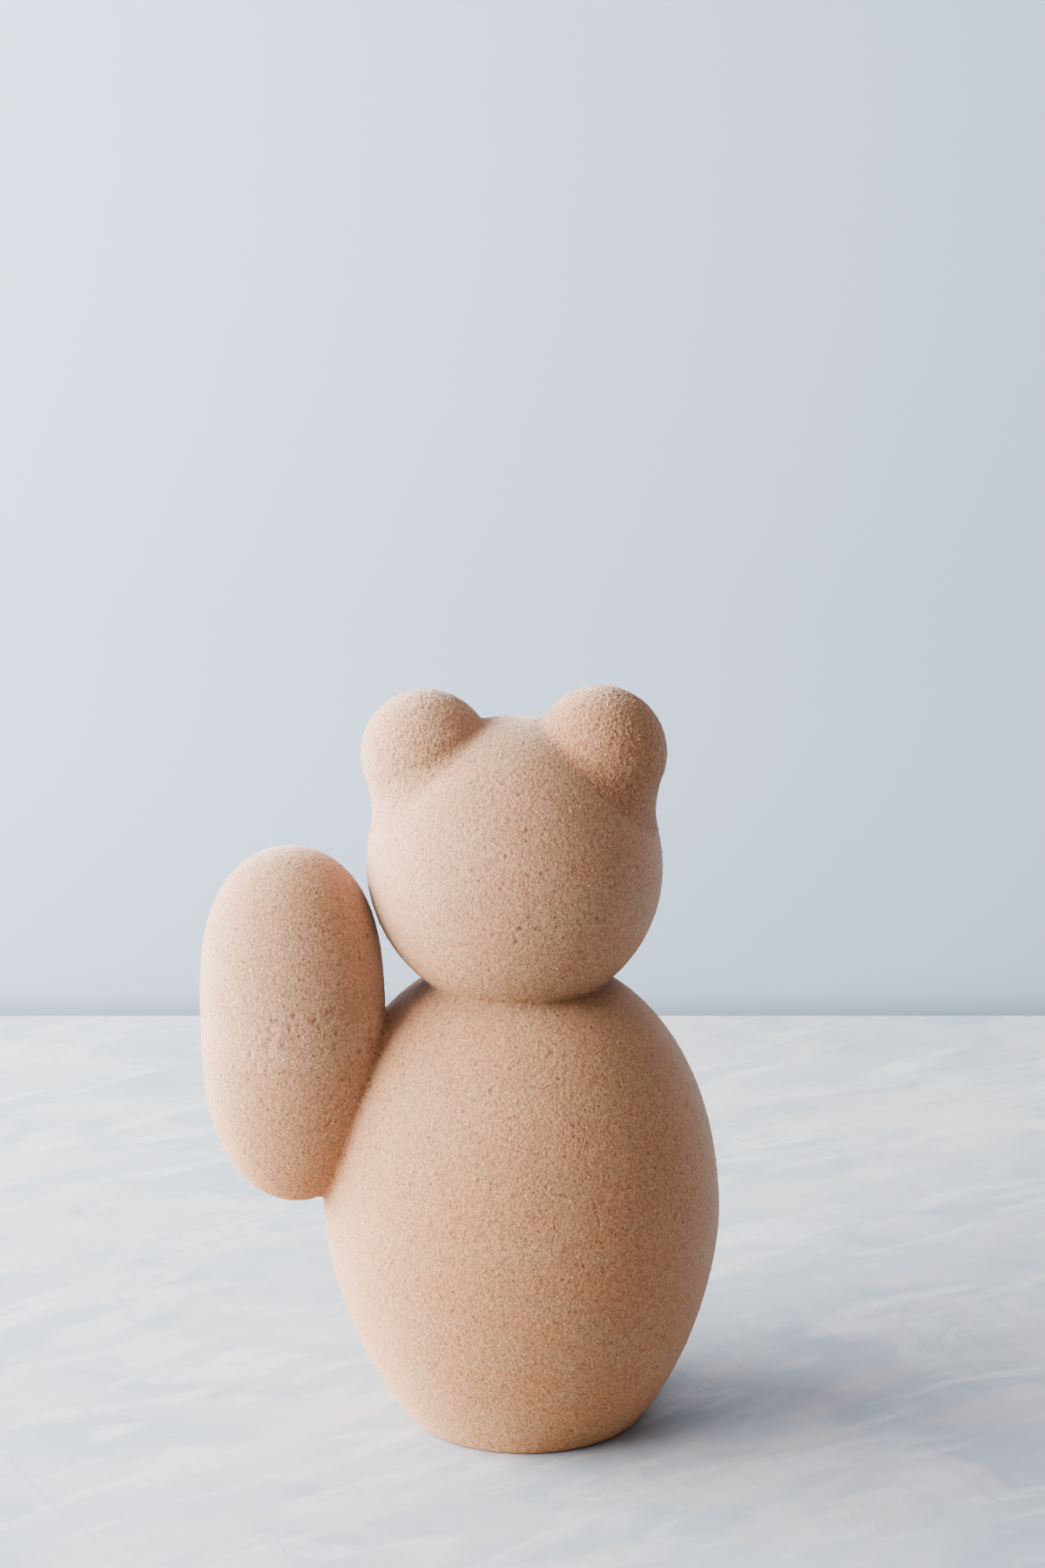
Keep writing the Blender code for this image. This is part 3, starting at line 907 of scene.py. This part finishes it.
def ringPiece(name, skinRings, bareRings, material, relief, outwards):
    rings = np.concatenate([skinRings, bareRings])
    normals = np.zeros_like(rings)
    normals[:len(skinRings)] = ringNormals(skinRings)
    normals[0] = outwards
    if np.sum(normals[1] * outwards) < 0.0:
        normals[1:] *= -1.0
    share = np.zeros((*rings.shape[:2], 1))
    share[:len(skinRings)] = 1.0
    count, columns = rings.shape[:2]
    places = fromPoleToPole(rings)
    pairs = [(i, (i + 1) % columns) for i in range(columns)]
    faces = [(0, 1 + i, 1 + j) for i, j in pairs]
    for row in range(count - 3):
        low = 1 + row * columns
        high = low + columns
        faces += [(low + i, high + i, high + j, low + j) for i, j in pairs]
    last = len(places) - 1
    low = last - columns
    faces += [(low + i, last, low + j) for i, j in pairs]
    mesh = bpy.data.meshes.new(name)
    mesh.from_pydata(places.tolist(), [], faces)
    writeAttribute(mesh, "clayNormal", "FLOAT_VECTOR", "vector", fromPoleToPole(normals))
    writeAttribute(mesh, "skin", "FLOAT", "value", fromPoleToPole(share))
    return finishPiece(meshPiece(name, mesh), material, relief)


def circleMeeting(radiusA, radiusB, apart):
    along = (radiusA ** 2 + apart ** 2 - radiusB ** 2) / (2.0 * apart)
    return np.array([along, math.sqrt(radiusA ** 2 - along ** 2)])


def arcAbout(centre, radius, start, end, count):
    first = math.atan2(start[1] - centre[1], start[0] - centre[0])
    last = math.atan2(end[1] - centre[1], end[0] - centre[0])
    turn = (last - first + math.pi) % (2.0 * math.pi) - math.pi
    swing = first + turn * np.linspace(0.0, 1.0, count)
    return np.column_stack([centre[0] + radius * np.cos(swing), centre[1] + radius * np.sin(swing)])


# An ear's section from its tip over the fillet to where it runs out on the head
def earLine(reach, fillet):
    ball = np.array([reach, 0.0])
    centre = circleMeeting(head["radius"] + fillet, ear["radius"] + fillet, reach)
    leaves = ball + (centre - ball) * ear["radius"] / (ear["radius"] + fillet)
    meets = centre * head["radius"] / (head["radius"] + fillet)
    tip = (reach + ear["radius"], 0.0)
    crown = arcAbout(ball, ear["radius"], tip, leaves, ear["crownPoints"])
    return np.vstack([crown, arcAbout(centre, fillet, leaves, meets, ear["filletPoints"])[1:]])


def makeEar(side):
    sign = 1.0 if side == "left" else -1.0
    reach = ear["reach"][side]
    angle = sign * math.radians(ear["spreadDegrees"])
    along = np.array([math.sin(angle), 0.0, math.cos(angle)])
    outer = sign * np.array([math.cos(angle), 0.0, -math.sin(angle)])
    back = np.array([0.0, 1.0, 0.0])
    hollow = ear["radius"] - ear["wall"]
    seat = head["radius"] - ear["sink"]
    rim = circleMeeting(seat, hollow, reach)
    sections = []
    for swing in 2.0 * math.pi * np.arange(ear["columns"]) / ear["columns"]:
        share = (0.5 + 0.5 * math.cos(swing)) ** 2
        fillet = ear["filletInner"] + (ear["filletOuter"] - ear["filletInner"]) * share
        line = evenPoints(earLine(reach, fillet), ear["skinRows"])
        edge = line[-1] * seat / np.linalg.norm(line[-1])
        under = arcAbout((0.0, 0.0), seat, edge, rim, ear["seatRows"])
        roof = arcAbout((reach, 0.0), hollow, rim, (reach + hollow, 0.0), ear["roofRows"])[1:]
        out = math.cos(swing) * outer + math.sin(swing) * back
        full = np.vstack([line, under, roof])
        sections.append(headCentre + full[:, :1] * along + full[:, 1:] * out)
    rings = np.array(sections).transpose(1, 0, 2)
    skin, bare = rings[:ear["skinRows"]], rings[ear["skinRows"]:]
    return ringPiece(f"ear_{side}_clay", skin, bare, clays["ear_" + side], ear["relief"][side], along)


# How far places are from the body's surface, and which way out is
def bodyDistance(places):
    flat = places.reshape(-1, 3)
    section = np.column_stack([np.hypot(flat[:, 0], flat[:, 1]), flat[:, 2]])
    gap = section[:, None, :] - egg[None, :, :]
    near = np.argmin(np.sum(gap ** 2, axis=2), axis=1)
    away = np.sum((section - egg[near]) * eggNormals[near], axis=1)
    around = flat[:, :2] / (section[:, :1] + 1e-12)
    outwards = np.column_stack([around * eggNormals[near][:, :1], eggNormals[near][:, 1]])
    return away.reshape(places.shape[:-1]), outwards.reshape(places.shape)


# The arm's surface, seen from its middle: swing is 0 away from the body, turn goes round
def armSurface(swing, turn, inset=0.0):
    middle = np.array([float(armAxis(arm["bellyHeight"])), 0.0, arm["bellyHeight"]])
    way = np.stack([-np.cos(swing), np.sin(swing) * np.cos(turn), np.sin(swing) * np.sin(turn)], axis=-1)
    near = np.zeros(way.shape[:-1])
    far = np.full(way.shape[:-1], armSearch["farthest"])
    for step in range(armSearch["surfaceHalvings"]):
        reach = (near + far) / 2.0
        place = middle + way * reach[..., None]
        level = place[..., 2]
        outside = np.hypot(place[..., 0] - armAxis(level), place[..., 1]) > armRadius(level, inset)
        far = np.where(outside, reach, far)
        near = np.where(outside, near, reach)
    return middle + way * far[..., None]


# Lines over the arm, from its outer pole to where they come within the clearance of the body
def armMeridians(turns, inset, clearance):
    steps = np.linspace(armSearch["firstSwing"], math.pi, armSearch["swings"])
    clear = np.array([bodyDistance(armSurface(np.full(len(turns), s), turns, inset))[0] for s in steps])
    first = np.argmax(clear < clearance, axis=0)
    near, far = steps[first - 1], steps[first]
    for step in range(armSearch["creaseHalvings"]):
        swing = (near + far) / 2.0
        inside = bodyDistance(armSurface(swing, turns, inset))[0] < clearance
        far = np.where(inside, swing, far)
        near = np.where(inside, near, swing)
    swings = far[None, :] * np.linspace(0.0, 1.0, armSearch["points"])[:, None]
    return armSurface(swings, np.broadcast_to(turns, swings.shape), inset)


def spread(lines, count, cutShort=0.0):
    made = np.zeros((count, lines.shape[1], 3))
    for column in range(lines.shape[1]):
        reach = lengthAlong(lines[:, column])
        at = np.linspace(0.0, reach[-1] - cutShort, count)
        for k in range(3):
            made[:, column, k] = np.interp(at, reach, lines[:, column, k])
    return made


# The arm as one form: skin, the fillet at the crease, and the hollow
def armForm():
    turns = 2.0 * math.pi * np.arange(arm["columns"]) / arm["columns"]
    outerLines = armMeridians(turns, 0.0, 0.0)
    crease = outerLines[-1]
    outer = spread(outerLines, arm["skinRows"], arm["filletReach"])
    bodyOut = bodyDistance(crease)[1]
    armOut = ringNormals(outerLines)[-1]
    if np.sum(armOut * (crease - outerLines[0])) < 0.0:
        armOut = -armOut
    away = armOut - bodyOut * np.sum(armOut * bodyOut, axis=1)[:, None]
    away /= np.linalg.norm(away, axis=1)[:, None]
    lands = crease + away * arm["filletReach"]
    for step in range(3):
        off, out = bodyDistance(lands)
        lands = lands - out * off[:, None]
    lands = lands - bodyDistance(lands)[1] * arm["filletSink"]
    t = np.linspace(0.0, 1.0, arm["filletRows"] + 1)[1:, None, None]
    fillet = (1.0 - t) ** 2 * outer[-1] + 2.0 * t * (1.0 - t) * crease + t * t * lands
    inner = spread(armMeridians(turns, arm["wall"], figure["luteGap"]), arm["innerRows"])[::-1]
    under = (crease - bodyOut * arm["creaseSink"])[None]
    turn = math.radians(arm["turnDegrees"])
    cosine, sine = math.cos(turn), math.sin(turn)
    swung = np.array([[cosine, sine, 0.0], [-sine, cosine, 0.0], [0.0, 0.0, 1.0]])
    skin = np.concatenate([outer, fillet]) @ swung
    bare = np.concatenate([under, inner]) @ swung
    relief = {"Band Height": arm["bandHeight"], "Band Roughness": arm["bandRoughness"]}
    return ringPiece("arm_clay", skin, bare, clays["arm"], relief, np.array([-1.0, 0.0, 0.0]))


def makeArm():
    whole = armForm()
    halves = []
    for name, keepLow in (("arm_lower_clay", True), ("arm_upper_clay", False)):
        work = bmesh.new()
        work.from_mesh(whole.data)
        bmesh.ops.bisect_plane(
            work,
            geom=[*work.verts, *work.edges, *work.faces],
            plane_co=(0.0, 0.0, arm["seamHeight"]),
            plane_no=(0.0, 0.0, 1.0),
            clear_outer=keepLow,
            clear_inner=not keepLow,
        )
        openEdges = [edge for edge in work.edges if len(edge.link_faces) == 1]
        bmesh.ops.triangle_fill(work, edges=openEdges, use_beauty=True)
        bmesh.ops.recalc_face_normals(work, faces=work.faces)
        mesh = bpy.data.meshes.new(name)
        work.to_mesh(mesh)
        work.free()
        mesh.materials.append(clays["arm"])
        smoothMesh(mesh)
        halves.append(meshPiece(name, mesh))
    bpy.data.objects.remove(whole)
    return halves


clayPieces = {
    "body_lower": makeBodyLower(),
    "body_upper": makeBodyUpper(),
    "head_lower": makeHeadLower(),
    "head_upper": makeHeadUpper(),
    "ear_right": makeEar("right"),
    "ear_left": makeEar("left"),
}
clayPieces["arm_lower"], clayPieces["arm_upper"] = makeArm()
print("clay pieces made:", ", ".join(clayPieces))


# Each piece stands for its node and rides with the figure
for node, piece in clayPieces.items():
    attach(piece, "root")
    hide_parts(node)


# Grains sown over each piece: density, and a crowd's height, reach and density
grogSown = {
    "body_lower": (150000.0,),
    "body_upper": (150000.0,),
    "head_lower": (180000.0,),
    "head_upper": (180000.0,),
    "ear_right": (300000.0, 0.205, 0.020, 700000.0),
    "ear_left": (450000.0, 0.205, 0.022, 1200000.0),
    "arm_lower": (180000.0, 0.113, 0.014, 600000.0),
    "arm_upper": (180000.0, 0.113, 0.014, 600000.0),
}
facesPerGrain = 20


def sowGrog(node, values):
    bed = meshPiece(node + "_bed", clayPieces[node].data.copy())
    settings = dict(zip(grogScatter, values))
    seed = sorted(grogSown).index(node)
    mesh = runTree(bed, grogScatterTree, {**settings, "Seed": seed, "Material": grog})
    bpy.data.objects.remove(bed)
    mesh.name = node + "_grog"
    grains = meshPiece(node + "_grog", mesh)
    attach(grains, "root")
    return len(mesh.polygons) // facesPerGrain


for node, values in grogSown.items():
    print("grains on", node, sowGrog(node, values))
for piece in clayPieces.values():
    for label in ("clayNormal", "skin"):
        piece.data.attributes.remove(piece.data.attributes[label])


# Table and wall
stage = {
    "tableFar": 0.360,
    "tableNear": -1.40,
    "tableHalfWidth": 1.60,
    "tableThickness": 0.030,
    "tableEdge": 0.003,
    "tableColour": (0.525, 0.560, 0.610),
    # painted shade: the table darkens from frontFrom to frontTo
    "frontFrom": 0.20,
    "frontTo": -0.15,
    "frontPaintedShade": (0.85, 0.87, 0.91),
    "wallAway": 1.10,
    "wallHalfWidth": 4.0,
    "wallBottom": -2.0,
    "wallTop": 4.0,
    "wallColour": (0.63, 0.757, 0.91),
}
# Painted shading on the wall by height: painted shade at its foot, just above the table's far edge, and the
# wall painted darker higher up
wallPaintedShade = {
    -0.240: 0.62, -0.2324: 0.74, -0.2288: 0.82, -0.2248: 0.90, -0.2208: 0.96, -0.205: 1.0,
    -0.05: 0.935, 0.06: 0.90, 0.35: 0.82, 1.0: 0.78,
}
# Brush strokes in the pale paint of the table: way they run, length, size and tone
tableStrokes = {
    "broad": {"turn": 12.0, "length": 1.7, "scale": 15.0, "range": (0.42, 0.62), "swirl": 2.4,
              "colour": (0.450, 0.500, 0.560)},
    "rosy": {"turn": -20.0, "length": 1.8, "scale": 12.0, "range": (0.47, 0.65), "swirl": 2.0,
             "colour": (0.640, 0.606, 0.624)},
    "milky": {"turn": -34.0, "length": 3.2, "scale": 24.0, "range": (0.50, 0.66), "swirl": 1.6,
              "colour": (0.655, 0.665, 0.692)},
    "fine": {"turn": 64.0, "length": 12.0, "scale": 90.0, "range": (0.54, 0.78), "swirl": 1.2,
             "colour": (0.480, 0.522, 0.585)},
}


def tableMaterial():
    material, tree, shader, place = newMaterial("paleTable", 0.6)
    colour = stage["tableColour"]
    for stroke in tableStrokes.values():
        turned = addNode(tree, "ShaderNodeVectorRotate", {
            "Vector": place,
            "Angle": math.radians(stroke["turn"]),
        }, rotation_type="Z_AXIS").outputs[0]
        length = stroke["length"]
        veins = noiseAt(tree, turned, stroke["scale"] / math.sqrt(length), 5.0, (1.0, length, 1.0),
                        Roughness=0.56, Distortion=stroke["swirl"])
        colour = mixed(tree, ranged(tree, veins, *stroke["range"]), colour, stroke["colour"])
    # Painted shade: the table is darker towards the front
    front = ranged(tree, partOf(tree, place, "Y"), stage["frontFrom"], stage["frontTo"])
    colour = mixed(tree, front, colour, stage["frontPaintedShade"], "MULTIPLY")
    tree.links.new(colour, shader.inputs["Base Color"])
    return material


def wallMaterial():
    material, tree, shader, place = newMaterial("paleWall", 0.9)
    # The wall's base colour carries the painted shading by height
    bottom, top = min(wallPaintedShade), max(wallPaintedShade)
    tones = {}
    for height, bright in wallPaintedShade.items():
        tones[(height - bottom) / (top - bottom)] = [c * bright for c in stage["wallColour"]]
    colour = ramped(tree, ranged(tree, partOf(tree, place, "Z"), bottom, top), tones)
    tree.links.new(colour, shader.inputs["Base Color"])
    return material


def makeStage():
    s = stage
    edge = s["tableEdge"]
    turn = np.linspace(0.0, math.pi / 2.0, 7)
    nosing = [(s["tableFar"] - edge + edge * math.sin(a), edge * math.cos(a) - edge) for a in turn]
    under = -s["tableThickness"]
    profile = [(s["tableFar"], under), (s["tableNear"], under), (s["tableNear"], 0.0), *nosing]
    count = len(profile)
    half = s["tableHalfWidth"]
    places = [(side, y, z) for side in (-half, half) for y, z in profile]
    faces = [(i, (i + 1) % count, count + (i + 1) % count, count + i) for i in range(count)]
    faces += [tuple(range(count - 1, -1, -1)), tuple(range(count, 2 * count))]
    mesh = bpy.data.meshes.new("table")
    mesh.from_pydata(places, [], faces)
    work = bmesh.new()
    work.from_mesh(mesh)
    bmesh.ops.recalc_face_normals(work, faces=work.faces)
    work.to_mesh(mesh)
    work.free()
    table = meshPiece("table", mesh)
    mesh.materials.append(tableMaterial())
    away, wide, low, high = s["wallAway"], s["wallHalfWidth"], s["wallBottom"], s["wallTop"]
    mesh = bpy.data.meshes.new("wall")
    mesh.from_pydata([(-wide, away, low), (wide, away, low), (wide, away, high), (-wide, away, high)],
                     [], [(0, 1, 2, 3)])
    wall = meshPiece("wall", mesh)
    mesh.materials.append(wallMaterial())


makeStage()


# Soft window light from the left, and the pale room around it
windowLight = {
    "place": (-1.38, -0.09, 0.56),
    "aim": (0.0, 0.0, 0.10),
    "width": 2.1,
    "height": 1.0,
    "power": 98.0,
    "colour": (0.99, 1.0, 0.975),
}
room = {
    "colour": (1.0, 0.89, 0.845),
    "sides": 0.03,
    "above": 0.79,
    "farWalls": (0.50, 0.56, 0.62),
}


# The room's light comes from above, and its far walls look pale from every side
def makeRoom():
    world = bpy.data.worlds.new("room")
    world.use_nodes = True
    tree = world.node_tree
    air = tree.nodes["Background"]
    air.inputs["Color"].default_value = (*room["colour"], 1.0)
    up = partOf(tree, addNode(tree, "ShaderNodeTexCoord").outputs["Generated"], "Z")
    tree.links.new(ranged(tree, up, 0.0, 1.0, room["sides"], room["above"]), air.inputs["Strength"])
    seen = addNode(tree, "ShaderNodeBackground", [(*room["farWalls"], 1.0), 1.0])
    direct = addNode(tree, "ShaderNodeLightPath").outputs["Is Camera Ray"]
    both = addNode(tree, "ShaderNodeMixShader", [direct, air.outputs[0], seen.outputs[0]])
    tree.links.new(both.outputs[0], tree.nodes["World Output"].inputs["Surface"])
    return world


def setLight():
    w = windowLight
    lamp = bpy.data.lights.new("window", "AREA")
    lamp.shape = "RECTANGLE"
    lamp.size = w["width"]
    lamp.size_y = w["height"]
    lamp.energy = w["power"]
    lamp.color = w["colour"]
    window = bpy.data.objects.new("window", lamp)
    window.location = w["place"]
    way = np.array(w["aim"]) - np.array(w["place"])
    window.rotation_euler = (
        math.atan2(math.hypot(way[0], way[1]), -way[2]),
        0.0,
        math.atan2(-way[0], way[1]),
    )
    scene.collection.objects.link(window)
    scene.world = makeRoom()
    scene.view_settings.view_transform = "AgX"
    scene.view_settings.look = "AgX - High Contrast"


setLight()
print("stage and light set")
